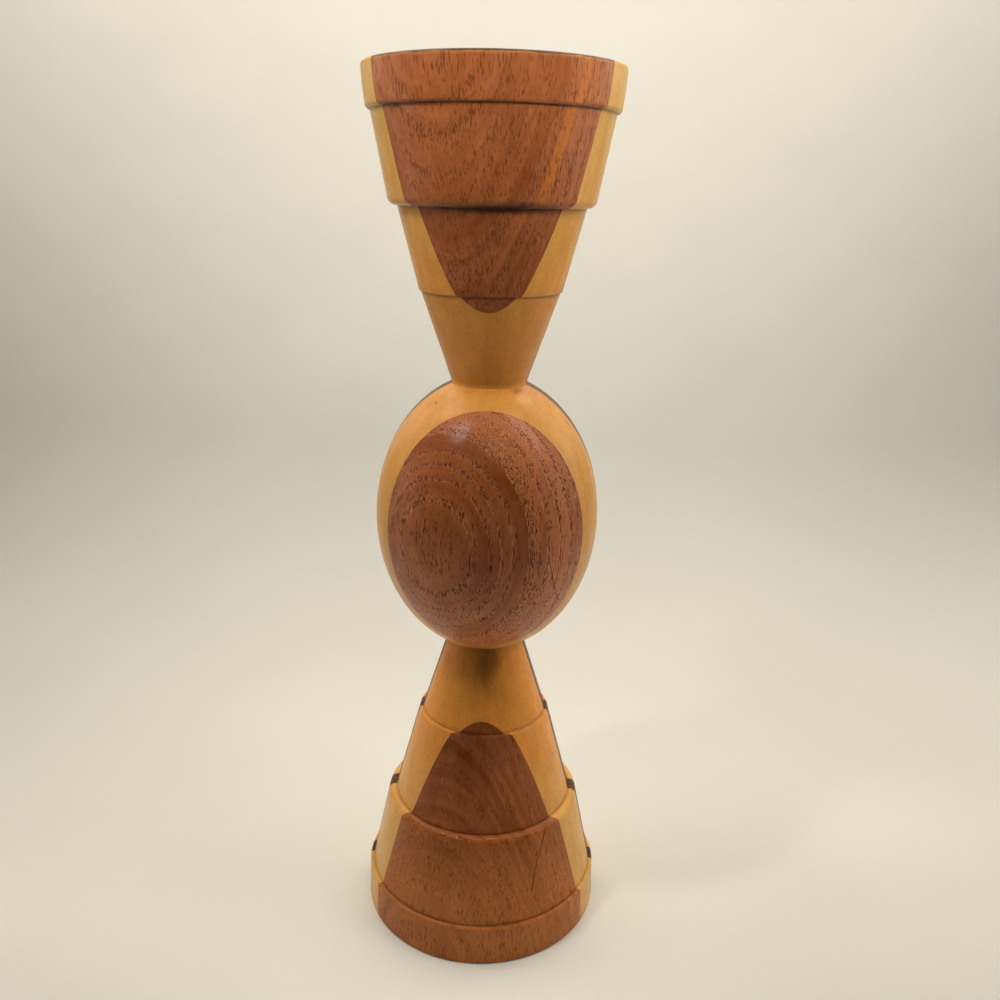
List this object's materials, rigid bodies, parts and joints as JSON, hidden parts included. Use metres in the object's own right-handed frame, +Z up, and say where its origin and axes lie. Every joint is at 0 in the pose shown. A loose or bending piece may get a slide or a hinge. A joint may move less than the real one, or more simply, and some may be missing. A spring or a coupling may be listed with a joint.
{
  "type": "candle holder",
  "caption": "Turned candle holder of laminated dark and light wood, with a flared stepped cup bored for a taper candle, an egg-shaped middle and a stepped base.",
  "frame": {"origin": "middle of the underside, on the turning axis", "axes": "+Z up the turning axis to the rim, -Y out of the front dark facings, X along the boards' width"},
  "size_m": [0.0818, 0.0818, 0.2788],
  "materials": {
    "dark_wood": "satin varnish",
    "light_wood": "satin varnish"
  },
  "bodies": {
    "root": {"front_light_board": "light_wood", "centre_strip": "dark_wood", "back_light_board": "light_wood", "front_base_facing": "dark_wood", "front_egg_facing": "dark_wood", "front_cup_facing": "dark_wood", "back_base_facing": "dark_wood", "back_egg_facing": "dark_wood", "back_cup_facing": "dark_wood"}
  },
  "joints": []
}
